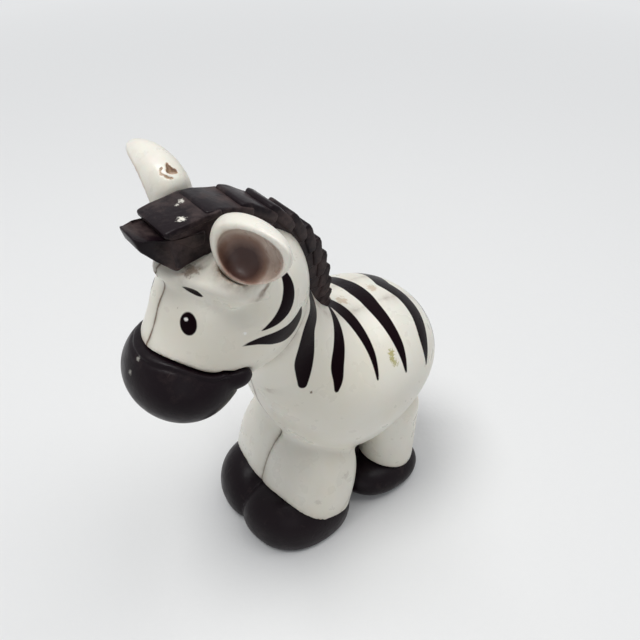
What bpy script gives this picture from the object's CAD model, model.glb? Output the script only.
import math
from typing import NamedTuple

import bmesh
import bpy
import numpy as np
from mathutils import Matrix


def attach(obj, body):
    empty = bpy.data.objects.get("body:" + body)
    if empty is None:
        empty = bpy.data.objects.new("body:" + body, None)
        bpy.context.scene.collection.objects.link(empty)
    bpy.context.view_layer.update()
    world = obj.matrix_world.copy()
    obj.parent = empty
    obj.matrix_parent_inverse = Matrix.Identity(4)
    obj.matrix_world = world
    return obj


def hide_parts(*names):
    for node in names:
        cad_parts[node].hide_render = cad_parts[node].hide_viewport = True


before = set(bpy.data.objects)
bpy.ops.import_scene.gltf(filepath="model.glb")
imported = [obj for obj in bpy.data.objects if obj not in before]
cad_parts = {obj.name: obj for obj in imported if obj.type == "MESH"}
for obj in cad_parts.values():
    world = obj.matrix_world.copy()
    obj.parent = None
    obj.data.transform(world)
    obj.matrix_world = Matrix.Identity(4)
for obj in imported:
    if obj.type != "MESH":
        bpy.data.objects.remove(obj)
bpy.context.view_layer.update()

# Toy zebra figure. Forms are drawn in millimetres, in the CAD source's own place,
# and moved to the frame's place and to metres when a mesh is made.
MM = 0.001
TINY = 1e-9
FAR = 50

# Moulding, and the lattice cell that each piece's skin is drawn with
FIT = 0.3
SEAM_GAP = 0.02
SEAM_ROUND = 0.02
SEAM_SNAP = 0.3
LIP_ROUND = 0.5
SHELL_CELL = 0.36
MUZZLE_CELL = 0.3
HOOF_CELL = 0.4
EAR_CELL = 0.2
TAIL_CELL = 0.2
SHARP_ANGLE = math.radians(55)

# Settling points on a skin; ink and eye are dropped on it from further off
SETTLE_ROUNDS = 3
SEAM_ROUNDS = 5
SLOPE_STEPS = 20
LEAST_STEEPNESS = 0.25
DROP_REACH, DROP_ROUNDS = 4, 6

# Barrel, chest and neck
BARREL_Y, BARREL_Z = 8.8, 32.3
BARREL_HALF = (15.3, 15.6, 12.65)
CHEST_Y, CHEST_Z = 1.6, 28.1
CHEST_HALF = (13.4, 11.5, 13.1)
TRUNK_BLEND = 8
NECK_ROOT = (0, -4.7, 37.5)
NECK_ROOT_RADIUS = 8
NECK_TOP_RADIUS = 7.6

# Head, placed from the cranium: (x, front, rise)
CRANIUM_Y, CRANIUM_Z = -13.6, 59.6
CRANIUM_HALF = (9.7, 9.6, 9)
NECK_TOP = (0, -2, -4.2)
FOREHEAD = (0, 6.2, 2.5)
FOREHEAD_RADIUS = 5.6
CHEEK = (1.4, 1.1, -5.3)
CHEEK_HALF = (7.95, 9.2, 8.9)
NOSE_TOP = (0, 4.7, -1.1)
NOSE_TOP_RADIUS = 6.8
NOSE_TIP = (0, 10.3, -9.6)
NOSE_TIP_RADIUS = 7.65
BROW_MIDDLE = (0, 10.2, 5.5)
BROW_END = (8.2, 6, 4.3)
BROW_RADIUS = 2.3
EAR_ROOT = (7.6, 4, 6.7)
EAR_ROOT_HALF = (3.6, 4.4, 3.4)
CHEEK_BLEND = 4
NOSE_BLEND = 5
BROW_BLEND = 1
THROAT_BLEND = 1.2

# Brow relief: a ridge over the eyes and a recess under it, each along a row of points
BROW_RIDGE = [(0, -25.5, 65.9), (1.4, -25.2, 65.8), (3.35, -24, 65.7), (6.6, -22.4, 65.9),
              (9.7, -20.8, 65.8), (10.6, -18.2, 64.4), (10.6, -16, 63.4)]
BROW_RECESS = [(0, -26, 63.6), (1.4, -25.8, 63.6), (3.3, -25, 63.6), (6.2, -23.5, 63.7),
               (9, -21.3, 63.3), (10.2, -18.8, 61.9)]
RIDGE_WIDTH, RIDGE_HEIGHT = 0.68, 0.9
RECESS_WIDTH, RECESS_DEPTH = 2, 0.85
BROW_STEPS = 3
BROW_MARGIN = 3

# Muzzle: its smile line is drawn in side view, from the nose to a knob on the cheek
MUZZLE_Y, MUZZLE_Z = CRANIUM_Y - 12, CRANIUM_Z - 11.2
MUZZLE_HALF = (9.2, 7.5, 6.4)
MUZZLE_BLEND = 2
MUZZLE_LIP = 0.35
LINE_TOP_FRONT = 3.9
LINE_TOP_RISE = 6.5
LINE_CURL = 2.4
LINE_SIDE_BACK = 3
LINE_SIDE_RISE = 3.6
KNOB_BACK = 5.2
KNOB_RISE = 0.5
KNOB_RADIUS = 1.8
KNOB_BALL = (8.3, -20.3, 49.6)
KNOB_BALL_HALF = (1.3, 1.9, 1.6)
KNOB_BLEND = 0.8
CHIN_BACK = 6
LINE_STEPS, KNOB_STEPS = 13, 12
LINE_FRONT_MARGIN, CHIN_MARGIN = 14, 1
LINE_TABLE_FRONT, LINE_TABLE_BACK, LINE_TABLE_TOP = 16, 40, 14
LINE_TABLE_STEP = 0.1
LAST_CELL = 1.001
RIM_WIDTH = 0.7
RIM_GROOVE = 0.24

# Legs
LEG_SQUARENESS = 2.6
FRONT_LEG = (5.7, -7.2, 8)
FRONT_LEG_HALF = (8, 7.1, 15)
FRONT_LEG_LEAN = 0.22
REAR_LEG_X, REAR_LEG_Y = 7.3, 12.7
REAR_LEG_TOP_Z, REAR_LEG_FOOT_Z = 20, 6
REAR_LEG_RADIUS = 5.8
LEG_CREASE = 1.5
CREASE_DEPTH = 0.5
CREASE_WIDTH = 0.55
TOE_IN_SHARE = 0.18

# Hooves and web
HOOF_SQUARENESS = 2.3
FRONT_HOOF = (5.4, -9.4, 2.9)
FRONT_HOOF_HALF = (8.5, 10, 7.3)
REAR_HOOF = (6.9, 10.4, 2.6)
REAR_HOOF_HALF = (7.5, 9.6, 4)
HOOF_TILT = 10
WEB_LOW = (-6.2, -3, 1.2)
WEB_HIGH = (6.2, 9, 22)
WEB_ROUND = 2
SOLE_EASE = 0.6
SOLE_TRIM = 0.05

# Mane: locks along an elliptical crest
CREST_Y, CREST_Z = CRANIUM_Y - 6.4, CRANIUM_Z - 9.1
CREST_BEHIND_NECK, CREST_OVER_HEAD = 6, 5.5
CREST_HALF_LENGTH = CRANIUM_Y - NECK_TOP[1] + NECK_TOP_RADIUS + CREST_BEHIND_NECK - CREST_Y
CREST_HALF_HEIGHT = CRANIUM_Z + CRANIUM_HALF[2] + CREST_OVER_HEAD - CREST_Z
CREST_START, CREST_END = 104.5, -10
LOCK_COUNT = 12
LOCK_SHRINK_SHARE = 0.9
LOCK_STEP = 0.5
LOCK_TUCK_SHARE = 0.33
LOCK_BEVEL = 0.4
LOCK_BEVEL_STEPS = 3
LOCK_CROWN = 0.12
LOCK_TILT = 13
LOCK_ROOT_INSET = 0.06
MANE_FRONT_HALF_WIDTH = 3.8
MANE_END_HALF_WIDTH = 2
MANE_DEPTH = 10
MANE_FRONT_DEPTH = 6
MANE_DEEP_SHARE = 0.33
PLATE_DEPTH = 1.5
PLATE_OVERHANG_SHARE = 0.1
PLATE_DUST = (0.1, 0.1, 0.9, 1, 1, 0.7)
ROOT_DUST = (1, 1, 0.4, 0.4)
TUFT_TOP_DROP = 2.3
TUFT_HEIGHT = 4.9
TUFT_KEEL_RISE = 1.2
TUFT_KEEL_NARROW = 0.7
TUFT_FRONT = 4.4
TUFT_REACH = 4.4
TUFT_TIP_RISE = 1.5
TUFT_CURL = 2.2
TUFT_TIP_HALF_WIDTH = 1.9

# Ears: a leaf on its own axis, cut open and hollowed at its outer front
EAR_PLACE = (11.05, CRANIUM_Y - 5, CRANIUM_Z + 12.4)
EAR_RISE, EAR_TURN = 20, 3
EAR_HALF = (7.7, 4.3, 3.5)
EAR_TAPER_SHARE = 0.23
EAR_SHOULDER, EAR_SHOULDER_ROUND = 5.7, 2
EAR_SINK = 2
EAR_RIM = 0.4

# Each ear's mouth: its distance in front of the axis, and its degrees of turn outward and down
LEFT_MOUTH, RIGHT_MOUTH = (1.1, 17, 8), (2.5, 17, 30)

# Hollow of an ear, and the dark core at its bottom, both on the ear's own axes
HOLLOW_LONG_SHARE, HOLLOW_WIDE_SHARE, HOLLOW_DEPTH = 0.74, 0.86, 3
HOLLOW_SHIFT, HOLLOW_DROP = 1.1, 0.35
HOLLOW_HALF = (EAR_HALF[0] * HOLLOW_LONG_SHARE, EAR_HALF[1] * HOLLOW_WIDE_SHARE, HOLLOW_DEPTH)
HOLLOW_CORE, HOLLOW_CORE_REACH = (-3, -2.3, -1), 3.4

# Torn scar of the right ear: rows of cuts as (x, y, z, half width)
SCAR_CURL = [(7.75, -19.3, 75.3, 0.12), (7.5, -19.7, 75.1, 0.06), (7.1, -19.8, 74.85, 0.14),
             (6.82, -19.5, 74.75, 0.05), (6.28, -19.3, 74.55, 0.16), (5.92, -18.82, 74.4, 0.05)]
SCAR_PIT = [(8.1, -18.3, 75.5, 0.06), (7.5, -18.4, 75.25, 0.28), (6.95, -18.45, 74.95, 0.55),
            (6.75, -18.1, 74.8, 0.4)]
SCAR_ROUND = 0.08

# Tail
TAIL_TOP_Y, TAIL_TOP_Z = BARREL_Y + BARREL_HALF[1] - 0.8, BARREL_Z + 2.5
TAIL_MID_OUT, TAIL_MID_DROP = 1.6, 4.2
TAIL_TIP_OUT, TAIL_TIP_DROP = 1.5, 8.4
TAIL_RADII = (1.3, 1.4, 2.2)
TAIL_BLEND = 1
TAIL_GROOVE = 0.16
TAIL_GROOVES = 9

# Printed ink: strokes on the left skin as (x, y, z, half width)
STROKES = {
    "cheek front": [
        (8.2, -11.9, 64.6, 0.4), (9.1, -11.7, 62.6, 0.9), (9.7, -12.1, 61, 1.15),
        (10, -13, 59.6, 1.15), (10.1, -14.4, 58.6, 0.85), (9.95, -15.8, 58.05, 0.45),
        (9.9, -17.1, 57.7, 0.06)],
    "cheek back": [
        (9.1, -20, 56.1, 0.06), (9.8, -17.4, 56, 0.65), (10, -14.5, 55.2, 1.3),
        (9.8, -12.4, 55, 1.6), (9.5, -10.8, 56, 1.2), (9.3, -9.9, 57.6, 0.2)],
    "neck front": [
        (1.5, 0.6, 58.5, 0.5), (4.3, -3, 54.4, 1.25), (5.7, -5, 52, 1.5), (7.5, -7, 50, 1.6),
        (7.8, -8.3, 45.7, 1.75), (8, -8.75, 42.8, 1.3), (8.1, -9.1, 40.3, 0.75)],
    "neck back": [
        (1.2, 1.6, 47.4, 0.15), (5, 0.4, 46.3, 0.75), (7.6, -1.1, 44.6, 1.1), (9.5, -3, 42, 1.2),
        (10.5, -3.7, 39.8, 0.85), (11, -4.4, 38.2, 0.38)],
    "withers": [
        (0, 2.2, 46.9, 1.3), (2.4, 3.1, 46.1, 1.35), (4.9, 3.6, 45.1, 1.15), (8.3, 3.7, 43.4, 0.85),
        (11, 3.4, 41.2, 0.6), (13.4, 2.6, 38.1, 0.22)],
    "saddle": [
        (0, 9.5, 45, 1.65), (2.2, 9.5, 44.9, 1.55), (4.5, 9.3, 44.5, 1.4), (8.4, 9.2, 43, 1.15),
        (11.9, 8.9, 40.4, 0.85), (14.5, 8.2, 37.1, 0.22)],
    "rump": [
        (0, 15.9, 43.5, 1.7), (2.2, 16.5, 43, 1.7), (4.3, 17, 42.4, 1.65), (7.8, 16.8, 41, 1.65),
        (11.7, 15.1, 38.6, 1.25), (14.1, 13.8, 35.2, 0.22)],
    "hind": [
        (0, 22, 39.4, 1.2), (3.8, 22.1, 38.4, 1.25), (8, 21, 36, 1.1), (11.6, 19, 32.5, 0.75),
        (13.3, 17.6, 29.2, 0.15)],
    "eyebrow": [
        (3.5, -24.3, 64.8, 0.12), (4.1, -24, 64.65, 0.5), (4.6, -23.6, 64.45, 0.58),
        (5.2, -23.3, 64.1, 0.44), (5.8, -22.9, 63.7, 0.08)]}
STROKE_STEPS = 7
THINNEST_STROKE = 0.03
EYE = (5.1, -25.2, 60.1)
EYE_HALF = (1.2, 1.66)
EYE_SLOPE_STEP = 0.1
EYE_GLEAM_SHIFT = (-0.3, 0.62)
EYE_GLEAM_RADIUS = 0.3

# Marks of use that fade with the distance from something: (strength, reach)
SMILE_GRIME, EAR_GRIME, HOOF_GRIME = (0.75, 0.5), (1, 0.8), (0.8, 0.5)
MANE_GRIME, SEAM_GRIME, SMEAR_GRIME = (0.5, 0.9), (0.7, 0.35), (1, 0.25)
JAW_GRIME, LEG_GRIME, JAW_FOLD = (0.6, 0.5), (0.5, 0.5), (0.9, 0.45)
EAR_ROOT_GRIME, SCAR_TEAR = (0.9, 0.9), (1, 0.15)
SEAM_FADE = 3
LOW_SEAM_SHARE = 0.8
CREST_CORE_SHARE = 0.6
JAW_TOP = CRANIUM_Z - 2
DIRT_SMEARS = [[(2.8, -24.2, 66.3, 0.1), (3.5, -23, 66.8, 0.35), (4, -21.8, 67.1, 0.3),
                (4.7, -21, 67.4, 0.1)],
               [(10.9, -15.9, 66.6, 0.1), (10.8, -16.4, 65.4, 0.35), (10.9, -17.1, 65, 0.4),
                (10.8, -17.9, 64.4, 0.35), (10.9, -19, 64.7, 0.1)]]

# Shade in an ear's hollow: how it stops at the hollow's edge and mouth, and deepens to the core
SHADE_EDGE, SHADE_OVERLAP, MOUTH_OVERLAP = 0.5, 1.2, 0.4
SHADE_LEAST, SHADE_GAIN, SHADE_REACH = 0.32, 0.75, 1.3

# Boxes that the skins are drawn in, low corner and high corner
SHELL_BOX = ((-2 * SHELL_CELL, MUZZLE_Y - 8, 0), (17, BARREL_Y + 18, CRANIUM_Z + 14))
MUZZLE_BOX = ((-12, MUZZLE_Y - 10, MUZZLE_Z - 8), (12, MUZZLE_Y + 9, MUZZLE_Z + 9))
EAR_BOX = ((3.5, EAR_PLACE[1] - 7, EAR_PLACE[2] - 8),
           (EAR_PLACE[0] + 9, EAR_PLACE[1] + 7, EAR_PLACE[2] + 7))
HOOF_BOX = ((-18, -22, -1), (18, 24, 22.5))
TAIL_BOX = ((-4, TAIL_TOP_Y - 3, TAIL_TOP_Z - 13), (4, TAIL_TOP_Y + 6, TAIL_TOP_Z + 3))

# Camera, from a fit of the forms to the photograph
CAMERA_PLACE = (64.389, -47.943, 115.119)
CAMERA_RIGHT = (0.63021529, 0.77641833, -0.00180566)
CAMERA_UP = (-0.50941886, 0.41524584, 0.75369976)
CAMERA_BACK = (0.5859361, -0.47407328, 0.65721641)
CAMERA_LENS = 35.884
CAMERA_SENSOR = 36
CAMERA_CLIP = 0.005

# The frame's foot: midway between nose and tail, on the sole
NOSE_Y = MUZZLE_Y - MUZZLE_HALF[1] - MUZZLE_LIP
FOOT = np.array([0, (NOSE_Y + TAIL_TOP_Y + TAIL_TIP_OUT + TAIL_RADII[2]) / 2, SOLE_TRIM])


def unit(vector):
    return np.array(vector, float) / np.linalg.norm(vector)


def in_frame(place):
    return [(value - foot) * MM for value, foot in zip(place, FOOT)]


# Forms: a form gives the distance to its skin, negative inside

def egg(centre, half, squareness=2):
    n = squareness

    def form(x, y, z):
        u = np.abs(x - centre[0]) / half[0]
        v = np.abs(y - centre[1]) / half[1]
        w = np.abs(z - centre[2]) / half[2]
        reach = (u ** n + v ** n + w ** n) ** (1 / n)
        slope = np.sqrt((u ** (n - 1) / half[0]) ** 2 + (v ** (n - 1) / half[1]) ** 2
                        + (w ** (n - 1) / half[2]) ** 2)
        return (reach - 1) * reach ** (n - 1) / np.maximum(slope, TINY)
    return form


def roll(start, end, start_radius, end_radius):
    axis = np.subtract(end, start)
    span = float(np.linalg.norm(axis))
    lean = (start_radius - end_radius) / span
    flank = math.sqrt(1 - lean * lean)

    def form(x, y, z):
        px, py, pz = x - start[0], y - start[1], z - start[2]
        along = (px * axis[0] + py * axis[1] + pz * axis[2]) / span
        out = np.sqrt(np.maximum(px * px + py * py + pz * pz - along * along, 0))
        station = np.clip(along - out * lean / flank, 0, span)
        return np.hypot(along - station, out) - start_radius + lean * station
    return form


def brick(low, high, rounding):
    middle = np.add(low, high) / 2
    half = np.subtract(high, low) / 2 - rounding

    def form(x, y, z):
        a = np.abs(x - middle[0]) - half[0]
        b = np.abs(y - middle[1]) - half[1]
        c = np.abs(z - middle[2]) - half[2]
        out = np.sqrt(np.maximum(a, 0) ** 2 + np.maximum(b, 0) ** 2 + np.maximum(c, 0) ** 2)
        return out + np.minimum(np.maximum(np.maximum(a, b), c), 0) - rounding
    return form


def melt(a, b, reach):
    near = np.maximum(reach - np.abs(a - b), 0) / reach
    return np.minimum(a, b) - near * near * reach / 4


def meet(a, b, reach):
    return -melt(-a, -b, reach)


def blend(first, second, reach):
    return lambda x, y, z: melt(first(x, y, z), second(x, y, z), reach)


def leaning(form, level, lean):
    return lambda x, y, z: form(x, y - lean * (z - level), z)


def nosed_up(form, centre, degrees):
    c, s = math.cos(math.radians(degrees)), math.sin(math.radians(degrees))

    def turned(x, y, z):
        v, w = y - centre[1], z - centre[2]
        return form(x, centre[1] + v * c - w * s, centre[2] + v * s + w * c)
    return turned


def toed_in(form, centre_x):
    return lambda x, y, z: form(x, y - TOE_IN_SHARE * (x - centre_x), z)


def on_head(place):
    x, front, rise = place
    return (x, CRANIUM_Y - front, CRANIUM_Z + rise)


def head_form():
    cranium = egg((0, CRANIUM_Y, CRANIUM_Z), CRANIUM_HALF)
    forehead = roll(on_head(FOREHEAD), on_head((0, 0, 0)), FOREHEAD_RADIUS, FOREHEAD_RADIUS)
    cheek = egg(on_head(CHEEK), CHEEK_HALF)
    nose = roll(on_head(NOSE_TOP), on_head(NOSE_TIP), NOSE_TOP_RADIUS, NOSE_TIP_RADIUS)
    brow = roll(on_head(BROW_MIDDLE), on_head(BROW_END), BROW_RADIUS, BROW_RADIUS)
    muzzle = egg((0, MUZZLE_Y, MUZZLE_Z), MUZZLE_HALF)
    ear_root = egg(on_head(EAR_ROOT), EAR_ROOT_HALF)
    skull = blend(blend(cranium, forehead, CHEEK_BLEND), cheek, CHEEK_BLEND)
    face = blend(blend(skull, nose, NOSE_BLEND), brow, BROW_BLEND)
    return blend(blend(face, ear_root, MUZZLE_BLEND), muzzle, MUZZLE_BLEND)


def trunk_form():
    barrel = egg((0, BARREL_Y, BARREL_Z), BARREL_HALF)
    chest = egg((0, CHEST_Y, CHEST_Z), CHEST_HALF)
    neck = roll(NECK_ROOT, on_head(NECK_TOP), NECK_ROOT_RADIUS, NECK_TOP_RADIUS)
    return blend(blend(barrel, chest, TRUNK_BLEND), neck, TRUNK_BLEND)


def front_leg_form():
    upright = egg(FRONT_LEG, FRONT_LEG_HALF, LEG_SQUARENESS)
    return toed_in(leaning(upright, FRONT_LEG[2], FRONT_LEG_LEAN), FRONT_LEG[0])


def rear_leg_form():
    top = (REAR_LEG_X, REAR_LEG_Y, REAR_LEG_TOP_Z)
    foot = (REAR_LEG_X, REAR_LEG_Y, REAR_LEG_FOOT_Z)
    return roll(top, foot, REAR_LEG_RADIUS, REAR_LEG_RADIUS)


def body_form():
    torso = blend(head_form(), trunk_form(), THROAT_BLEND)
    return blend(blend(torso, front_leg_form(), LEG_CREASE), rear_leg_form(), LEG_CREASE)


def hoof_form():
    front = nosed_up(egg(FRONT_HOOF, FRONT_HOOF_HALF, HOOF_SQUARENESS), FRONT_HOOF, HOOF_TILT)
    rear = nosed_up(egg(REAR_HOOF, REAR_HOOF_HALF, HOOF_SQUARENESS), REAR_HOOF, HOOF_TILT)
    return blend(toed_in(front, FRONT_HOOF[0]), rear, LEG_CREASE)


# Smile line: the distance to its outline in y and z, read from a fine table

def smile_outline():
    top_y, top_z = MUZZLE_Y - LINE_TOP_FRONT, MUZZLE_Z + LINE_TOP_RISE
    side_y, side_z = MUZZLE_Y + LINE_SIDE_BACK, MUZZLE_Z + LINE_SIDE_RISE
    knob_y, knob_z = MUZZLE_Y + KNOB_BACK, MUZZLE_Z + KNOB_RISE
    chin_y, chin_z = MUZZLE_Y + CHIN_BACK, MUZZLE_Z - MUZZLE_HALF[2] - CHIN_MARGIN
    front_y = top_y - LINE_FRONT_MARGIN
    corners = [(front_y, top_z)]
    for t in np.linspace(0, 1, LINE_STEPS):
        a, b, c, d = (1 - t) ** 3, 3 * t * (1 - t) ** 2, 3 * t * t * (1 - t), t ** 3
        corners.append((a * top_y + b * (top_y + LINE_CURL) + c * (side_y - LINE_CURL) + d * side_y,
                        a * top_z + b * top_z + c * side_z + d * side_z))
    end = -math.acos((chin_y - knob_y) / KNOB_RADIUS)
    for t in np.linspace(math.pi / 2, end, KNOB_STEPS):
        corners.append((knob_y + KNOB_RADIUS * math.cos(t), knob_z + KNOB_RADIUS * math.sin(t)))
    return corners + [(chin_y, chin_z), (front_y, chin_z)]


def side_distance(corners, low, high, step):
    ys = np.arange(low[0], high[0], step)[:, None]
    zs = np.arange(low[1], high[1], step)[None, :]
    nearest = np.full((ys.size, zs.size), np.inf)
    inside = np.zeros(nearest.shape, bool)
    for (y0, z0), (y1, z1) in zip(corners, corners[1:] + corners[:1]):
        dy, dz = y1 - y0, z1 - z0
        share = np.clip(((ys - y0) * dy + (zs - z0) * dz) / (dy * dy + dz * dz), 0, 1)
        nearest = np.minimum(nearest, np.hypot(ys - y0 - share * dy, zs - z0 - share * dz))
        if z0 != z1:
            crossed = ((z0 > zs) != (z1 > zs)) & (ys < y0 + (zs - z0) / dz * dy)
            inside ^= crossed
    table = np.where(inside, -nearest, nearest)

    def distance(y, z):
        u = np.clip((y - low[0]) / step, 0, table.shape[0] - LAST_CELL)
        v = np.clip((z - low[1]) / step, 0, table.shape[1] - LAST_CELL)
        i, j = u.astype(int), v.astype(int)
        s, t = u - i, v - j
        return (table[i, j] * (1 - s) * (1 - t) + table[i + 1, j] * s * (1 - t)
                + table[i, j + 1] * (1 - s) * t + table[i + 1, j + 1] * s * t)
    return distance


# Rows of points: a smooth curve through them, and the distance to their tapering links

def as_points(x, y, z):
    return np.stack(np.broadcast_arrays(x, y, z), -1).reshape(-1, 3)


def smooth_row(corners, links):
    corners = np.array(corners, float)
    steps = np.linspace(0, len(corners) - 1, (len(corners) - 1) * links + 1)
    first = np.minimum(steps.astype(int), len(corners) - 2)
    t = (steps - first)[:, None]
    before = corners[np.maximum(first - 1, 0)]
    a, b = corners[first], corners[first + 1]
    after = corners[np.minimum(first + 2, len(corners) - 1)]
    return 0.5 * (2 * a + (b - before) * t + (2 * before - 5 * a + 4 * b - after) * t ** 2
                  + (3 * a - before - 3 * b + after) * t ** 3)


def links_distance(points, places, halves):
    nearest = np.full(len(points), float(FAR))
    for p0, p1, h0, h1 in zip(places, places[1:], halves, halves[1:]):
        link = p1 - p0
        share = np.clip((points - p0) @ link / max(link @ link, TINY), 0, 1)
        off = np.linalg.norm(points - p0 - share[:, None] * link, axis=1)
        nearest = np.minimum(nearest, off - h0 - share * (h1 - h0))
    return nearest


def row_distance(points, row):
    row = np.array(row)
    return links_distance(points, row[:, :3], row[:, 3])


# Skins: one corner in each lattice cell that a form's skin crosses

def slopes(form, points, step):
    parts = []
    for axis in range(3):
        shift = np.zeros(3)
        shift[axis] = step
        parts.append((form(*(points + shift).T) - form(*(points - shift).T)) / (2 * step))
    return np.stack(parts, 1)


def settled(form, points, cell, rounds=SETTLE_ROUNDS, free=(1, 1, 1), longest=0.5):
    for _ in range(rounds):
        slope = slopes(form, points, cell / SLOPE_STEPS) * free
        steep = np.maximum((slope ** 2).sum(1), LEAST_STEEPNESS)
        move = np.clip(form(*points.T) / steep, -cell * longest, cell * longest)
        points = points - slope * move[:, None]
    return points


def cornered(points, form, plane_x, cell):
    """Corners in the first row beside the seam go to the edge that the skin makes with it."""
    row = (points[:, 0] < cell) & (np.abs(form(*points.T)) < SEAM_SNAP)
    edge = points[row]
    edge[:, 0] = plane_x
    points[row] = settled(form, edge, cell, SEAM_ROUNDS, free=(0, 1, 1), longest=1)
    return points


def skin(form, box, cell):
    low = np.array(box[0], float)
    count = np.ceil((np.array(box[1]) - low) / cell).astype(int) + 1
    x, y, z = (low[i] + cell * np.arange(count[i]) for i in range(3))
    values = form(x[:, None, None], y[None, :, None], z[None, None, :])
    inside = values < 0
    total = np.zeros(count - 1, np.int8)
    for i, j, k in np.ndindex(2, 2, 2):
        total += inside[i:count[0] - 1 + i, j:count[1] - 1 + j, k:count[2] - 1 + k]
    cells = np.argwhere((total > 0) & (total < 8))
    number = np.full(count, -1)
    number[tuple(cells.T)] = np.arange(len(cells))
    spot = np.zeros((len(cells), 3))
    hits = np.zeros(len(cells))
    for axis, u, v in np.ndindex(3, 2, 2):
        corner = np.zeros(3, int)
        corner[(axis + 1) % 3], corner[(axis + 2) % 3] = u, v
        ahead = corner.copy()
        ahead[axis] = 1
        a0, a1 = values[tuple((cells + corner).T)], values[tuple((cells + ahead).T)]
        cut = (a0 < 0) != (a1 < 0)
        share = np.where(cut, a0 / np.where(cut, a0 - a1, 1), 0)
        spot += cut[:, None] * (corner + share[:, None] * (ahead - corner))
        hits += cut
    points = low + (cells + spot / hits[:, None]) * cell
    faces = []
    for axis in range(3):
        ahead = np.zeros(3, int)
        ahead[axis] = 1
        side, rise = np.roll(ahead, 1), np.roll(ahead, 2)
        at = cells[(cells[:, (axis + 1) % 3] > 0) & (cells[:, (axis + 2) % 3] > 0)]
        a0 = inside[tuple(at.T)]
        a1 = inside[tuple((at + ahead).T)]
        at, a0 = at[a0 != a1], a0[a0 != a1]
        around = (at, at - side, at - side - rise, at - rise)
        ring = np.stack([number[tuple(q.T)] for q in around], 1)
        faces.append(np.where(a0[:, None], ring, ring[:, ::-1]))
    return settled(form, points, cell), np.concatenate(faces)


# Making a piece


def linked(name, data):
    made = bpy.data.objects.new(name, data)
    bpy.context.scene.collection.objects.link(made)
    return made


def piece(name, material, points, faces, marks=None):
    mesh = bpy.data.meshes.new(name + "_fine")
    mesh.from_pydata(((points - FOOT) * MM).tolist(), [], faces.tolist())
    mesh.update()
    for mark, values in (marks or {}).items():
        layer = mesh.attributes.new(mark, "FLOAT", "POINT")
        layer.data.foreach_set("value", values.astype(np.float32))
    mesh.shade_smooth()
    mesh.set_sharp_from_angle(angle=SHARP_ANGLE)
    replaced(name, material, linked(name + "_fine", mesh))


def replaced(name, material, made):
    made.data.materials.clear()
    made.data.materials.append(material)
    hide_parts(name)
    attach(made, "root")


def flipped(points, faces):
    return points * (-1, 1, 1), faces[:, ::-1]


# What the pieces are cut from: the figure's forms, its smile line and its brow's rows

body, hooves = body_form(), hoof_form()
head, trunk, rear_leg = head_form(), trunk_form(), rear_leg_form()
smile = side_distance(smile_outline(), (MUZZLE_Y - LINE_TABLE_FRONT, CHEST_Z),
                      (MUZZLE_Y + LINE_TABLE_BACK, CRANIUM_Z + LINE_TABLE_TOP), LINE_TABLE_STEP)
brow_rows = [smooth_row(corners, BROW_STEPS) for corners in (BROW_RIDGE, BROW_RECESS)]


def brow_relief(x, y, z):
    points = as_points(x, y, z)
    near = np.where((points[:, 2] > BROW_RECESS[-1][2] - BROW_MARGIN)
                    & (points[:, 1] < BROW_RIDGE[-1][1] + BROW_MARGIN))[0]
    rise = np.zeros(len(points))
    ridge, recess = (links_distance(points[near], row, np.zeros(len(row))) for row in brow_rows)
    rise[near] = (RIDGE_HEIGHT * np.exp(-(ridge / RIDGE_WIDTH) ** 2)
                  - RECESS_DEPTH * np.exp(-(recess / RECESS_WIDTH) ** 2))
    return rise.reshape(np.broadcast(x, y, z).shape)


def moulded_form(x, y, z):
    apart = head(x, y, z) - trunk(x, y, z)
    crease = CREASE_DEPTH * np.exp(-(apart / CREASE_WIDTH) ** 2) * (z < CRANIUM_Z)
    face = body(x, y, z) + crease - brow_relief(x, y, z)
    without_muzzle = meet(face, FIT / 2 - smile(y, z), LIP_ROUND)
    without_knobs = meet(without_muzzle, FIT / 2 - knob_ball(x, y, z), LIP_ROUND / 2)
    without_ears = np.maximum(without_knobs, FIT / 2 - ear_pocket(x, y, z))
    without_hooves = meet(without_ears, FIT - hooves(x, y, z), LIP_ROUND)
    return np.maximum(without_hooves, FRONT_HOOF[2] - z)


def shell_form(x, y, z):
    return meet(moulded_form(x, y, z), SEAM_GAP / 2 - x, SEAM_ROUND)


def knob_ball(x, y, z):
    return egg(KNOB_BALL, KNOB_BALL_HALF)(np.abs(x), y, z)


def muzzle_form(x, y, z):
    edge = smile(y, z) + FIT / 2
    groove = RIM_GROOVE * np.exp(-((edge + RIM_WIDTH) / (RIM_WIDTH / 3)) ** 2)
    cap = meet(body(x, y, z) - MUZZLE_LIP + groove, edge, LIP_ROUND)
    return blend(lambda *p: cap, knob_ball, KNOB_BLEND)(x, y, z)


def hoof_base_form(x, y, z):
    shod = meet(hooves(np.abs(x), y, z), SOLE_TRIM - z, SOLE_EASE)
    web = brick(WEB_LOW, WEB_HIGH, WEB_ROUND)(x, y, z)
    return np.minimum(shod, np.maximum(web, 2 * FIT - body(np.abs(x), y, z)))


def ear_place(x, y, z):
    rise, turn = math.radians(EAR_RISE), math.radians(EAR_TURN)
    along = np.array([math.cos(rise), 0, math.sin(rise)])
    level = np.array([0, -1, 0])
    facing = level * math.cos(turn) - np.cross(along, level) * math.sin(turn)
    p = [x - EAR_PLACE[0], y - EAR_PLACE[1], z - EAR_PLACE[2]]
    axes = (along, np.cross(facing, along), facing)
    a, b, c = (p[0] * d[0] + p[1] * d[1] + p[2] * d[2] for d in axes)
    return a, b / (1 - EAR_TAPER_SHARE * np.clip(a / EAR_HALF[0], -1, 1)), c


def mouth_facing(mouth):
    out, down = math.radians(mouth[1]), math.radians(mouth[2])
    level = math.cos(out)
    return np.array([math.sin(out), -math.sin(down) * level, math.cos(down) * level])


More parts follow.
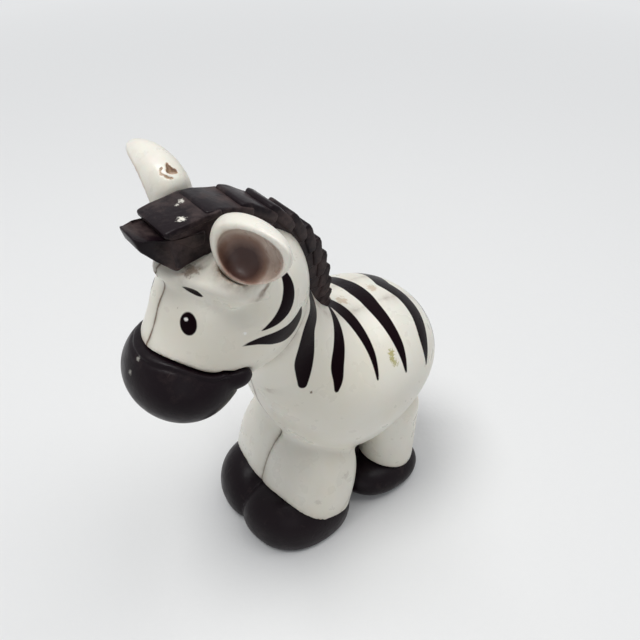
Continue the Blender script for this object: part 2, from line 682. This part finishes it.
def behind_mouth(mouth, a, b, c):
    facing = mouth_facing(mouth)
    return mouth[0] - (facing[0] * a + facing[1] * b + facing[2] * c)


def whole_ear(a, b, c):
    return meet(egg((0, 0, 0), EAR_HALF)(a, b, c), -EAR_SHOULDER - a, EAR_SHOULDER_ROUND)


def hollow_centre(mouth):
    return mouth_facing(mouth) * mouth[0] + (HOLLOW_SHIFT, -HOLLOW_DROP, 0)


def ear_form(mouth):
    hollow = egg(hollow_centre(mouth), HOLLOW_HALF)

    def form(x, y, z):
        a, b, c = ear_place(x, y, z)
        opening = melt(hollow(a, b, c), behind_mouth(mouth, a, b, c), EAR_RIM)
        cupped = meet(whole_ear(a, b, c), -opening, EAR_RIM)
        return np.maximum(cupped, -EAR_SINK - body(np.abs(x), y, z))
    return form


def ear_pocket(x, y, z):
    return np.maximum(whole_ear(*ear_place(x, y, z)), -EAR_SINK - body(np.abs(x), y, z))


def scar_distance(x, y, z):
    points = as_points(x, y, z)
    nearest = np.minimum(row_distance(points, SCAR_CURL), row_distance(points, SCAR_PIT))
    return nearest.reshape(np.broadcast(x, y, z).shape)


def scarred_ear_form(x, y, z):
    return meet(ear_form(RIGHT_MOUTH)(x, y, z), -scar_distance(x, y, z), SCAR_ROUND)


def tail_form():
    top = (0, TAIL_TOP_Y, TAIL_TOP_Z)
    mid = (0, TAIL_TOP_Y + TAIL_MID_OUT, TAIL_TOP_Z - TAIL_MID_DROP)
    tip = (0, TAIL_TOP_Y + TAIL_TIP_OUT, TAIL_TOP_Z - TAIL_TIP_DROP)
    hanging = blend(roll(top, mid, TAIL_RADII[0], TAIL_RADII[1]),
                    roll(mid, tip, TAIL_RADII[1], TAIL_RADII[2]), TAIL_BLEND)

    def form(x, y, z):
        low = np.clip((mid[2] - z) / TAIL_RADII[2], 0, 1)
        angle = np.arctan2(x - tip[0], y - tip[1])
        hair = TAIL_GROOVE * low * (1 - np.cos(TAIL_GROOVES * angle)) / 2
        return np.maximum(hanging(x, y, z) + hair, FIT / 2 - body(np.abs(x), y, z))
    return form


# Marks on a skin's points, for the materials: ink strokes dropped on the skin, grime and folds

def on_skin(points):
    return settled(moulded_form, np.array(points, float), DROP_REACH, DROP_ROUNDS)


def stroke_distance(points, stroke):
    row = smooth_row(stroke, STROKE_STEPS)
    return links_distance(points, on_skin(row[:, :3]), np.maximum(row[:, 3], THINNEST_STROKE))


def eye_axes():
    centre = on_skin([EYE])[0]
    out = unit(slopes(moulded_form, centre[None, :], EYE_SLOPE_STEP)[0])
    rise = unit(np.array([0, 0, 1]) - out * out[2])
    return centre, np.cross(rise, out), rise


def eye_distances(points):
    centre, side, rise = eye_axes()
    a, b = (points - centre) @ side, (points - centre) @ rise
    reach = np.hypot(a / EYE_HALF[0], b / EYE_HALF[1])
    far = np.linalg.norm(points - centre, axis=1) > 2 * EYE_HALF[1]
    eye = (reach - 1) * EYE_HALF[0]
    gleam = np.hypot(a - EYE_GLEAM_SHIFT[0], b - EYE_GLEAM_SHIFT[1]) - EYE_GLEAM_RADIUS
    return np.where(far, FAR, eye), np.where(far, FAR, gleam)


def faded(distance, mark):
    strength, reach = mark
    return strength * np.exp(-np.maximum(distance, 0) / reach)


def shell_marks(points):
    eye, gleam = eye_distances(points)
    ink = np.min([stroke_distance(points, stroke) for stroke in STROKES.values()], axis=0)
    x, y, z = points.T
    crest = np.hypot((y - CREST_Y) / CREST_HALF_LENGTH, (z - CREST_Z) / CREST_HALF_HEIGHT)
    off_crest = FAR * (crest < CREST_CORE_SHARE) + FAR * (z < NECK_ROOT[2])
    jaw = np.abs(head(x, y, z) - trunk(x, y, z)) + FAR * (z > JAW_TOP)
    front = np.clip((NECK_ROOT[1] - y) / SEAM_FADE, 0, 1)
    seam = np.clip(1 - (x - SEAM_GAP / 2) / SHELL_CELL, 0, 1) * front
    seam *= np.where(z > NECK_ROOT[2], 1, LOW_SEAM_SHARE)
    grime = [faded(smile(y, z) - FIT, SMILE_GRIME),
             faded(ear_form(LEFT_MOUTH)(x, y, z) - FIT, EAR_GRIME),
             faded(hooves(x, y, z) - FIT, HOOF_GRIME),
             faded(np.abs(x - MANE_FRONT_HALF_WIDTH) + off_crest, MANE_GRIME),
             faded(x - SEAM_GAP, SEAM_GRIME) * front,
             faded(jaw, JAW_GRIME),
             faded(np.abs(trunk(x, y, z) - rear_leg(x, y, z)), LEG_GRIME)]
    grime += [faded(row_distance(points, smear), SMEAR_GRIME) for smear in DIRT_SMEARS]
    return {"ink": np.minimum(ink, eye), "gleam": gleam,
            "grime": np.max(grime, axis=0), "fold": np.maximum(seam, faded(jaw, JAW_FOLD))}


def ear_marks(points, mouth):
    a, b, c = ear_place(*points.T)
    hollow = egg(hollow_centre(mouth), HOLLOW_HALF)(a, b, c)
    inside = np.clip(SHADE_OVERLAP - hollow / SHADE_EDGE, 0, 1)
    inside *= np.clip(behind_mouth(mouth, a, b, c) / SHADE_EDGE + MOUTH_OVERLAP, 0, 1)
    reach = np.linalg.norm(np.stack([a, b, c], -1) - HOLLOW_CORE, axis=-1) / HOLLOW_CORE_REACH
    return {"grime": faded(body(*points.T) - FIT, EAR_ROOT_GRIME),
            "shade": inside * (SHADE_LEAST + SHADE_GAIN * np.clip(SHADE_REACH - reach, 0, 1))}


# Mane: one lock, set along the crest by Geometry Nodes

def prism(made, corners, halves, dusty):
    """Two mirrored rings of corners and the faces between them; each corner has its dust."""
    layer = made.verts.layers.float["dusty"]
    left, right = [], []
    for ring, side in ((left, 1), (right, -1)):
        for (y, z), half, dust in zip(corners, halves, dusty):
            ring.append(made.verts.new((side * half, y, z)))
            ring[-1][layer] = dust
    made.faces.new(left)
    made.faces.new(right[::-1])
    for i in range(len(corners)):
        j = (i + 1) % len(corners)
        made.faces.new([left[j], left[i], right[i], right[j]])


def meshed(name, made):
    mesh = bpy.data.meshes.new(name)
    made.to_mesh(mesh)
    made.free()
    return linked(name, mesh)


def bevelled(made):
    bmesh.ops.bevel(made, geom=made.edges, offset=LOCK_BEVEL, segments=LOCK_BEVEL_STEPS,
                    profile=0.5, affect="EDGES")


def boxed_lock():
    """A plate that overhangs a narrower root, one unit long and one unit to each side."""
    made = bmesh.new()
    made.verts.layers.float.new("dusty")
    mean_length = CREST_HALF_LENGTH * math.radians(CREST_START - CREST_END) / LOCK_COUNT
    last = 1 + LOCK_TUCK_SHARE
    plate = [(0, 0), (LOCK_TUCK_SHARE, LOCK_CROWN), (1, -LOCK_STEP), (last, -2 * LOCK_STEP),
             (last, -2 * LOCK_STEP - PLATE_DEPTH), (0, -PLATE_DEPTH)]
    root = [(LOCK_ROOT_INSET, -PLATE_DEPTH / 2), (last, -2 * LOCK_STEP - PLATE_DEPTH / 2),
            (last, -MANE_DEPTH), (LOCK_ROOT_INSET, -MANE_DEPTH)]
    prism(made, plate, [1] * len(plate), PLATE_DUST)
    prism(made, root, [1 - PLATE_OVERHANG_SHARE] * len(root), ROOT_DUST)
    for vert in made.verts:
        vert.co.x *= MANE_FRONT_HALF_WIDTH
        vert.co.y *= mean_length
    bevelled(made)
    for vert in made.verts:
        vert.co.x /= MANE_FRONT_HALF_WIDTH
        vert.co.y /= mean_length
    bmesh.ops.recalc_face_normals(made, faces=made.faces)
    return meshed("lock", made)


class Tree:
    """Lays nodes in a tree: a value given for an input is a socket or a number."""

    def __init__(self, tree):
        self.tree = tree

    def put(self, value, socket):
        if isinstance(value, bpy.types.NodeSocket):
            self.tree.links.new(value, socket)
        else:
            socket.default_value = value

    def add(self, kind, inputs=None, **settings):
        node = self.tree.nodes.new(kind)
        for key, value in settings.items():
            setattr(node, key, value)
        for key, value in (inputs or {}).items():
            self.put(value, node.inputs[key])
        return node.outputs

    def sum(self, operation, *values):
        return self.add("ShaderNodeMath", dict(enumerate(values)), operation=operation)[0]


MANE_SIZES = {"Lock Count": LOCK_COUNT, "Shrink Share": LOCK_SHRINK_SHARE,
              "Start Angle": math.radians(CREST_START), "End Angle": math.radians(CREST_END),
              "Crest Y": CREST_Y, "Crest Z": CREST_Z, "Crest Half Length": CREST_HALF_LENGTH,
              "Crest Half Height": CREST_HALF_HEIGHT, "Front Half Width": MANE_FRONT_HALF_WIDTH,
              "End Half Width": MANE_END_HALF_WIDTH, "Deep Share": MANE_DEEP_SHARE,
              "Front Depth Share": MANE_FRONT_DEPTH / MANE_DEPTH, "Tilt": math.radians(LOCK_TILT)}


def mane_tree(material):
    group = bpy.data.node_groups.new("mane_locks", "GeometryNodeTree")
    face = group.interface
    face.new_socket(name="Geometry", in_out="OUTPUT", socket_type="NodeSocketGeometry")
    face.new_socket(name="Lock", in_out="INPUT", socket_type="NodeSocketObject")
    for name in MANE_SIZES:
        kind = "NodeSocketInt" if name == "Lock Count" else "NodeSocketFloat"
        face.new_socket(name=name, in_out="INPUT", socket_type=kind)
    tree = Tree(group)
    given = tree.add("NodeGroupInput")
    index = tree.add("GeometryNodeInputIndex")[0]
    shrink, count = given["Shrink Share"], given["Lock Count"]
    whole = tree.sum("SUBTRACT", 1, tree.sum("POWER", shrink, count))

    def crest(step):
        share = tree.sum("DIVIDE", tree.sum("SUBTRACT", 1, tree.sum("POWER", shrink, step)), whole)
        turn = tree.sum("SUBTRACT", given["End Angle"], given["Start Angle"])
        angle = tree.sum("MULTIPLY_ADD", turn, share, given["Start Angle"])
        along, up = tree.sum("COSINE", angle), tree.sum("SINE", angle)
        y = tree.sum("MULTIPLY_ADD", along, given["Crest Half Length"], given["Crest Y"])
        z = tree.sum("MULTIPLY_ADD", up, given["Crest Half Height"], given["Crest Z"])
        return share, y, z

    share, y, z = crest(index)
    _, next_y, next_z = crest(tree.sum("ADD", index, 1))
    run, rise = tree.sum("SUBTRACT", next_y, y), tree.sum("SUBTRACT", next_z, z)
    squares = tree.sum("MULTIPLY", run, run), tree.sum("MULTIPLY", rise, rise)
    length = tree.sum("SQRT", tree.sum("ADD", *squares))
    taper = tree.sum("SUBTRACT", given["End Half Width"], given["Front Half Width"])
    width = tree.sum("MULTIPLY_ADD", taper, share, given["Front Half Width"])
    deeper = tree.sum("MINIMUM", tree.sum("DIVIDE", share, given["Deep Share"]), 1)
    lack = tree.sum("SUBTRACT", 1, given["Front Depth Share"])
    depth = tree.sum("MULTIPLY_ADD", lack, deeper, given["Front Depth Share"])
    place = tree.add("ShaderNodeCombineXYZ", {"Y": y, "Z": z})[0]
    size = tree.add("ShaderNodeCombineXYZ", {"X": width, "Y": length, "Z": depth})[0]
    tilt = tree.sum("MULTIPLY", share, given["Tilt"])
    slope = tree.sum("SUBTRACT", tree.sum("ARCTAN2", rise, run), tilt)
    pitch = tree.add("ShaderNodeCombineXYZ", {"X": slope})[0]
    turn = tree.add("FunctionNodeEulerToRotation", {0: pitch})[0]
    points = tree.add("GeometryNodePoints", {"Count": count, "Position": place})[0]
    lock = tree.add("GeometryNodeObjectInfo", {"Object": given["Lock"]})["Geometry"]
    row = tree.add("GeometryNodeInstanceOnPoints",
                   {"Points": points, "Instance": lock, "Rotation": turn, "Scale": size})[0]
    real = tree.add("GeometryNodeRealizeInstances", {0: row})[0]
    finished = tree.add("GeometryNodeSetMaterial", {"Geometry": real, "Material": material})[0]
    tree.add("NodeGroupOutput", {"Geometry": finished})
    return group


def locks_mesh(material):
    carrier = linked("mane_carrier", bpy.data.meshes.new("mane_carrier"))
    lock = boxed_lock()
    group = mane_tree(material)
    grown = carrier.modifiers.new("locks", "NODES")
    grown.node_group = group
    sizes = dict(MANE_SIZES, Lock=lock)
    for socket in group.interface.items_tree:
        if socket.in_out == "INPUT":
            value = sizes[socket.name]
            is_float = socket.socket_type == "NodeSocketFloat"
            grown[socket.identifier] = float(value) if is_float else value
    seen = carrier.evaluated_get(bpy.context.evaluated_depsgraph_get())
    mesh = bpy.data.meshes.new_from_object(seen)
    carrier.modifiers.remove(grown)
    bpy.data.objects.remove(carrier)
    bpy.data.objects.remove(lock)
    return mesh


def tuft_mesh():
    top_z = CREST_Z + CREST_HALF_HEIGHT - TUFT_TOP_DROP
    low_z, root_y = top_z - TUFT_HEIGHT, CREST_Y - TUFT_FRONT
    tip_y, tip_z = root_y - TUFT_REACH, top_z + TUFT_TIP_RISE
    root_z = (low_z + top_z) / 2
    corners = [(CREST_Y, low_z + TUFT_KEEL_RISE), (root_y, low_z),
               (root_y - TUFT_CURL, low_z + TUFT_CURL), (tip_y + TUFT_CURL / 4, tip_z - TUFT_CURL),
               (tip_y, tip_z), (tip_y + TUFT_CURL, tip_z - TUFT_CURL / 2),
               (root_y, top_z), (CREST_Y, top_z)]
    shares = [max(root_y - y, 0) / TUFT_REACH for y, z in corners]
    taper = TUFT_TIP_HALF_WIDTH - MANE_FRONT_HALF_WIDTH
    halves = [MANE_FRONT_HALF_WIDTH + taper * share - TUFT_KEEL_NARROW * (z < root_z)
              for share, (y, z) in zip(shares, corners)]
    made = bmesh.new()
    made.verts.layers.float.new("dusty")
    prism(made, corners, halves, [1 - share for share in shares])
    bevelled(made)
    bmesh.ops.recalc_face_normals(made, faces=made.faces)
    return made


def mane_piece(material):
    made = tuft_mesh()
    made.from_mesh(locks_mesh(material))
    bmesh.ops.recalc_face_normals(made, faces=made.faces)
    for vert in made.verts:
        vert.co = in_frame(vert.co)
    mane = meshed("mane_fine", made)
    mane.data.shade_smooth()
    return mane


# Finishes

WHITE = (0.8, 0.775, 0.69, 1)
AGED = (0.73, 0.67, 0.53, 1)
GRIME = (0.13, 0.07, 0.035, 1)
HOLLOW_BROWN = (0.05, 0.018, 0.013, 1)
HOLLOW_TAN = (0.36, 0.2, 0.14, 1)
SCAR_BROWN = (0.22, 0.12, 0.065, 1)
SCAR_TAN = (0.52, 0.36, 0.22, 1)
INK = (0.006, 0.0022, 0.0035, 1)
BLACK = (0.0055, 0.0022, 0.004, 1)
WORN_BLACK = (0.014, 0.007, 0.01, 1)
DUST = (0.17, 0.12, 0.11, 1)
BRIGHT_CHIP = (0.93, 0.92, 0.88, 1)
TAN = (0.42, 0.25, 0.1, 1)
YELLOW = (0.36, 0.32, 0.07, 1)
GLEAM = (0.85, 0.84, 0.8, 1)
PLAIN_SHEEN = (1, 1, 1, 1)
INK_SHEEN = (0.15, 0.1, 0.12, 1)
PLASTIC_SPECULAR, INK_SPECULAR, BLACK_SPECULAR = 0.45, 0.12, 0.13
SUBSURFACE_WEIGHT, SUBSURFACE_SCALE = 0.08, 0.0015
EDGE_SOFTNESS = 0.07

# Spots: the noise that frays their edge, how far it does, and the share of the radius that is full
SPOT_SCALE, SPOT_DETAIL, SPOT_ROUGHNESS = 1800, 5, 0.65
SPOT_RAGGED, SPOT_CORE_SHARE = 1.6, 0.5


class Pattern(NamedTuple):
    """A noise, and the part of its range that is spread from one value to another."""
    scale: float
    detail: float
    roughness: float
    low: float
    high: float
    start: float = 0
    end: float = 1


AGEING = Pattern(60, 4, 0.5, low=0.4, high=0.72, end=0.55)
MOTTLE = Pattern(520, 4, 0.6, low=0.5, high=0.85, end=0.1)
RUB = Pattern(34, 5, 0.62, low=0.58, high=0.85, end=0.12)
SPECK_GROUPS = Pattern(120, 1, 0.5, low=0.6, high=0.66)
DIRT = Pattern(420, 5, 0.65, low=0.3, high=0.66)
WHITE_ROUGHNESS = Pattern(300, 4, 0.5, low=0.2, high=0.8, start=0.23, end=0.36)
INK_LEFT = Pattern(650, 5, 0.7, low=0.78, high=0.84, start=1, end=0.5)
SCAR_TONE = Pattern(1100, 3, 0.5, low=0.35, high=0.65)
BLACK_WEAR = Pattern(90, 4, 0.5, low=0.42, high=0.7, end=0.35)
SCRATCHES = Pattern(70, 4, 0.6, low=0.66, high=0.74, end=0.15)
BLACK_ROUGHNESS = Pattern(420, 4, 0.5, low=0.25, high=0.75, start=0.26, end=0.44)
RUB_STRETCH, SCRATCH_STRETCH = (4, 1, 1), (9, 1, 1)

# White plastic: specks, grime on the marked places, and dirt in the folds
SPECK_SCALE, SPECK_EDGE, SPECK_CORE, SPECK_STRENGTH = 260, 0.1, 0.05, 0.4
GRIME_GAIN, GRIME_LEAST, GRIME_ROUGHNESS = 0.75, 0.12, 0.3
FOLD_RANGE, FOLD_DIRT = (0.5, 0.95), (0, 0.5, 0.55, 0.95)
WHITE_PEEL = ((1500, 3), 0.25, (150, 2), 0.00008)

# Lining of an ear, and its scar
LINING_NOISE, LINING_MOTTLE, LINING_SHADE = (260, 4, 0.6), 0.5, 1.25
TAN_RANGE, BROWN_RANGE = (0.3, 0.9, 0, 0.9), (0.65, 1.25, 0, 0.97)
SCAR_NOISE, SCAR_RAGGED, SCAR_RANGE = (1900, 4, 0.7), 1.2, (1, 1.4, 0, 0.95)

# Black plastic: dust, more of it where a piece is marked dusty
DUST_NOISE, DUST_MARK, DUST_RANGE, DUST_ROUGHNESS = (240, 6, 0.7), 0.22, (0.56, 0.82), 0.4
BLACK_PEEL = ((1400, 4), 0.3, (200, 3), 0.00012)


class Finish(Tree):
    """A material's tree, with the patterns that the finishes share."""

    def __init__(self, name):
        self.material = bpy.data.materials.new(name)
        self.material.use_nodes = True
        super().__init__(self.material.node_tree)
        self.shader = self.tree.nodes["Principled BSDF"]
        self.place = self.add("ShaderNodeTexCoord")["Object"]

    def noise(self, scale, detail=3, roughness=0.5, place=None):
        return self.add("ShaderNodeTexNoise", {"Vector": place or self.place, "Scale": scale,
                                               "Detail": detail, "Roughness": roughness})["Fac"]

    def ramp(self, value, low, high, start=0, end=1):
        return self.add("ShaderNodeMapRange", {"Value": value, "From Min": low, "From Max": high,
                                               "To Min": start, "To Max": end})[0]

    def pattern(self, kind, place=None):
        return self.ramp(self.noise(*kind[:3], place), *kind[3:])

    def mix(self, share, first, second):
        return self.add("ShaderNodeMix", {0: share, 6: first, 7: second}, data_type="RGBA")[2]

    def mark(self, name):
        return self.add("ShaderNodeAttribute", attribute_name=name)["Fac"]

    def inked(self, name):
        return self.ramp(self.mark(name), EDGE_SOFTNESS, -EDGE_SOFTNESS)

    def stretched(self, scale):
        return self.add("ShaderNodeMapping", {"Vector": self.place, "Scale": scale})[0]

    def spot(self, place, radius):
        frayed = SPOT_RAGGED * radius * MM
        away = self.add("ShaderNodeVectorMath", {0: self.place, 1: in_frame(place)},
                        operation="DISTANCE")["Value"]
        noise = self.noise(SPOT_SCALE / radius, SPOT_DETAIL, SPOT_ROUGHNESS)
        rough = self.sum("MULTIPLY_ADD", noise, 2 * frayed, -frayed)
        return self.ramp(self.sum("ADD", away, rough), radius * MM, SPOT_CORE_SHARE * radius * MM)

    def give(self, name, value):
        self.put(value, self.shader.inputs[name])

    def bump(self, height, distance):
        sizes = {"Height": height, "Distance": distance, "Strength": 1}
        self.give("Normal", self.add("ShaderNodeBump", sizes)[0])

    def peel(self, fine, fine_share, broad, distance):
        """The faint unevenness of moulded plastic."""
        height = self.sum("MULTIPLY_ADD", self.noise(*fine), fine_share, self.noise(*broad))
        self.bump(height, distance)


def specked(f, colour):
    cells = f.add("ShaderNodeTexVoronoi", {"Vector": f.place, "Scale": SPECK_SCALE})
    specks = f.ramp(cells["Distance"], SPECK_EDGE, SPECK_CORE)
    share = f.sum("MULTIPLY", f.sum("MULTIPLY", specks, f.pattern(SPECK_GROUPS)), SPECK_STRENGTH)
    return f.mix(share, colour, GRIME)


def printed_over(f, colour, dirt):
    """Dirt in the folds, then the ink and the eye's gleam."""
    folded = f.sum("MULTIPLY", f.ramp(f.mark("fold"), *FOLD_RANGE), f.ramp(dirt, *FOLD_DIRT))
    colour = f.mix(folded, colour, GRIME)
    ink = f.inked("ink")
    f.give("Specular Tint", f.mix(ink, PLAIN_SHEEN, INK_SHEEN))
    f.give("Specular IOR Level", f.ramp(ink, 0, 1, PLASTIC_SPECULAR, INK_SPECULAR))
    colour = f.mix(f.sum("MULTIPLY", ink, f.pattern(INK_LEFT)), colour, INK)
    return f.mix(f.inked("gleam"), colour, GLEAM)


def ear_lined(f, colour):
    """Tan and brown down the hollow, and the torn scar."""
    shade = f.sum("MULTIPLY", f.mark("shade"), LINING_SHADE)
    lining = f.sum("MULTIPLY_ADD", f.noise(*LINING_NOISE), LINING_MOTTLE, shade)
    colour = f.mix(f.ramp(lining, *TAN_RANGE), colour, HOLLOW_TAN)
    colour = f.mix(f.ramp(lining, *BROWN_RANGE), colour, HOLLOW_BROWN)
    torn = f.sum("MULTIPLY_ADD", f.noise(*SCAR_NOISE), SCAR_RAGGED, f.mark("scar"))
    tone = f.mix(f.pattern(SCAR_TONE), SCAR_TAN, SCAR_BROWN)
    f.give("Specular IOR Level", PLASTIC_SPECULAR)
    return f.mix(f.ramp(torn, *SCAR_RANGE), colour, tone)


def white_plastic(name, printed, stains=()):
    f = Finish(name)
    colour = f.mix(f.pattern(AGEING), WHITE, AGED)
    colour = f.mix(f.pattern(MOTTLE), colour, AGED)
    colour = f.mix(f.pattern(RUB, f.stretched(RUB_STRETCH)), colour, DUST)
    colour = specked(f, colour)
    dirt = f.pattern(DIRT)
    grimy = f.sum("MULTIPLY", f.mark("grime"), f.sum("MULTIPLY_ADD", dirt, GRIME_GAIN, GRIME_LEAST))
    colour = f.mix(grimy, colour, GRIME)
    for place, radius, tint, strength in stains:
        colour = f.mix(f.sum("MULTIPLY", f.spot(place, radius), strength), colour, tint)
    colour = printed_over(f, colour, dirt) if printed else ear_lined(f, colour)
    f.give("Base Color", colour)
    f.give("Roughness", f.sum("MULTIPLY_ADD", grimy, GRIME_ROUGHNESS, f.pattern(WHITE_ROUGHNESS)))
    f.give("Subsurface Weight", SUBSURFACE_WEIGHT)
    f.give("Subsurface Scale", SUBSURFACE_SCALE)
    f.peel(*WHITE_PEEL)
    return f.material


def black_plastic(name, chips, dusty):
    f = Finish(name)
    colour = f.mix(f.pattern(BLACK_WEAR), BLACK, WORN_BLACK)
    settled_dust = f.sum("MULTIPLY_ADD", f.mark("dusty"), DUST_MARK, f.noise(*DUST_NOISE))
    dust = f.ramp(settled_dust, *DUST_RANGE, 0, dusty)
    colour = f.mix(dust, colour, DUST)
    colour = f.mix(f.pattern(SCRATCHES, f.stretched(SCRATCH_STRETCH)), colour, DUST)
    for place, radius, strength in chips:
        colour = f.mix(f.sum("MULTIPLY", f.spot(place, radius), strength), colour, WHITE)
    f.give("Base Color", colour)
    f.give("Roughness", f.sum("MULTIPLY_ADD", dust, DUST_ROUGHNESS, f.pattern(BLACK_ROUGHNESS)))
    f.give("Specular IOR Level", BLACK_SPECULAR)
    f.peel(*BLACK_PEEL)
    return f.material


# Stains on the white as (place, radius, tint, strength), and chips on the black without a tint
BODY_STAINS = [((12.9, -3.3, 16), 0.9, GRIME, 0.2), ((12.4, -9.5, 12.6), 0.7, GRIME, 0.2),
               ((9, -8.1, 38.6), 0.3, GRIME, 0.9), ((0.8, 5.3, 45.7), 1.5, TAN, 0.5),
               ((0.5, 12.6, 44.5), 1.2, TAN, 0.45), ((11.9, 6.8, 40.5), 0.7, YELLOW, 0.8),
               ((12.6, 6.4, 39.9), 0.6, YELLOW, 0.8), ((13.1, 6.7, 39.2), 0.7, YELLOW, 0.7),
               ((3.3, -25.5, 61.9), 0.28, GRIME, 0.9), ((3.5, -22.9, 66.8), 1.1, GRIME, 0.6),
               ((9.3, -19.3, 58.1), 0.3, BRIGHT_CHIP, 0.9)]
MANE_CHIPS = [((-1.2, -20.3, 73.6), 0.5, 0.75), ((-0.8, -21.2, 73.6), 0.32, 0.7),
              ((2.4, -22.4, 73.7), 0.6, 0.95)]
MUZZLE_CHIPS = [((0.3, -31.2, 54), 0.4, 0.35), ((-0.1, -32.5, 51.8), 0.4, 0.35)]
MANE_DUST, MUZZLE_DUST, HOOF_DUST = 0.36, 0.12, 0.2

body_white = white_plastic("aged_white_plastic", True, BODY_STAINS)
ear_white = white_plastic("ear_white_plastic", False)
mane_black = black_plastic("mane_black_plastic", MANE_CHIPS, MANE_DUST)
muzzle_black = black_plastic("muzzle_black_plastic", MUZZLE_CHIPS, MUZZLE_DUST)
hoof_black = black_plastic("hoof_black_plastic", (), HOOF_DUST)

# The pieces themselves
points, faces = skin(shell_form, SHELL_BOX, SHELL_CELL)
points = cornered(points, moulded_form, SEAM_GAP / 2, SHELL_CELL)
marks = shell_marks(points)
piece("shell_left", body_white, points, faces, marks)
piece("shell_right", body_white, *flipped(points, faces), marks)
piece("muzzle", muzzle_black, *skin(muzzle_form, MUZZLE_BOX, MUZZLE_CELL))

points, faces = skin(ear_form(LEFT_MOUTH), EAR_BOX, EAR_CELL)
marks = dict(ear_marks(points, LEFT_MOUTH), scar=np.zeros(len(points)))
piece("ear_left", ear_white, points, faces, marks)
points, faces = skin(scarred_ear_form, EAR_BOX, EAR_CELL)
marks = dict(ear_marks(points, RIGHT_MOUTH), scar=faded(scar_distance(*points.T), SCAR_TEAR))
piece("ear_right", ear_white, *flipped(points, faces), marks)

piece("hoof_base", hoof_black, *skin(hoof_base_form, HOOF_BOX, HOOF_CELL))
piece("tail", hoof_black, *skin(tail_form(), TAIL_BOX, TAIL_CELL))
replaced("mane", mane_black, mane_piece(mane_black))

# Floor, light and camera
FLOOR_HALF = 1.5
FLOOR_ROUGHNESS = 0.8
FLOOR_TONE_SCALE, FLOOR_GRAIN_SCALE, FLOOR_GRAIN = 6, 900, 0.00005
FADE_NEAR, FADE_FAR = 0.12, 0.4
PALE = (0.78, 0.79, 0.8, 1)
FLOOR_WHITE, FLOOR_GREY = (0.82, 0.82, 0.81, 1), (0.8, 0.8, 0.79, 1)
SKY = (0.27, 0.28, 0.3, 1)
LIT_PLACE = (0, 0, 0.035)

# Square lamps turned to the lit place: (name, place, size, power)
LAMPS = [("key", (-0.08, -0.14, 0.62), 0.28, 2.2), ("fill", (0.45, -0.35, 0.3), 0.4, 0.3),
         ("over", (0.1, 0.25, 0.6), 0.4, 1.2)]


def floor():
    mesh = bpy.data.meshes.new("floor")
    h = FLOOR_HALF
    mesh.from_pydata([(-h, -h, 0), (h, -h, 0), (h, h, 0), (-h, h, 0)], [], [(0, 1, 2, 3)])
    made = linked("floor", mesh)
    f = Finish("pale_floor")
    f.give("Base Color", f.mix(f.noise(FLOOR_TONE_SCALE), FLOOR_WHITE, FLOOR_GREY))
    f.give("Roughness", FLOOR_ROUGHNESS)
    f.bump(f.noise(FLOOR_GRAIN_SCALE), FLOOR_GRAIN)
    away = f.add("ShaderNodeVectorMath", {0: f.place}, operation="LENGTH")["Value"]
    seen = f.add("ShaderNodeLightPath")["Is Camera Ray"]
    fading = f.sum("MULTIPLY", f.ramp(away, FADE_NEAR, FADE_FAR), seen)
    backdrop = f.add("ShaderNodeEmission", {"Color": PALE, "Strength": 1})[0]
    both = f.add("ShaderNodeMixShader", {0: fading, 1: f.shader.outputs[0], 2: backdrop})[0]
    f.put(both, f.tree.nodes["Material Output"].inputs["Surface"])
    mesh.materials.append(f.material)


def lamp(name, place, size, power):
    data = bpy.data.lights.new(name, "AREA")
    data.size = size
    data.energy = power
    made = linked(name, data)
    back = unit(np.subtract(place, LIT_PLACE))
    made.location = place
    made.rotation_euler = (math.acos(back[2]), 0, math.atan2(back[0], -back[1]))


def sky():
    """Pale where it is seen, dimmer where it lights."""
    world = bpy.data.worlds.new("studio")
    world.use_nodes = True
    bpy.context.scene.world = world
    tree = Tree(world.node_tree)
    world.node_tree.nodes.clear()
    path = tree.add("ShaderNodeLightPath")
    mirrored = tree.sum("MAXIMUM", path["Is Glossy Ray"], path["Is Transmission Ray"])
    seen = tree.sum("MAXIMUM", path["Is Camera Ray"], mirrored)
    dim = tree.add("ShaderNodeBackground", {"Color": SKY, "Strength": 1})[0]
    bright = tree.add("ShaderNodeBackground", {"Color": PALE, "Strength": 1})[0]
    both = tree.add("ShaderNodeMixShader", {0: seen, 1: dim, 2: bright})[0]
    tree.add("ShaderNodeOutputWorld", {"Surface": both})


def camera():
    data = bpy.data.cameras.new("photo_view")
    data.lens = CAMERA_LENS
    data.sensor_width = CAMERA_SENSOR
    data.clip_start = CAMERA_CLIP
    made = linked("photo_view", data)
    matrix = np.eye(4)
    matrix[:3, 0], matrix[:3, 1], matrix[:3, 2] = CAMERA_RIGHT, CAMERA_UP, CAMERA_BACK
    matrix[:3, 3] = np.array(CAMERA_PLACE) * MM
    made.matrix_world = matrix.T.tolist()
    bpy.context.scene.camera = made


floor()
for name, place, size, power in LAMPS:
    lamp(name, place, size, power)
sky()
camera()
bpy.context.scene.view_settings.view_transform = "Standard"
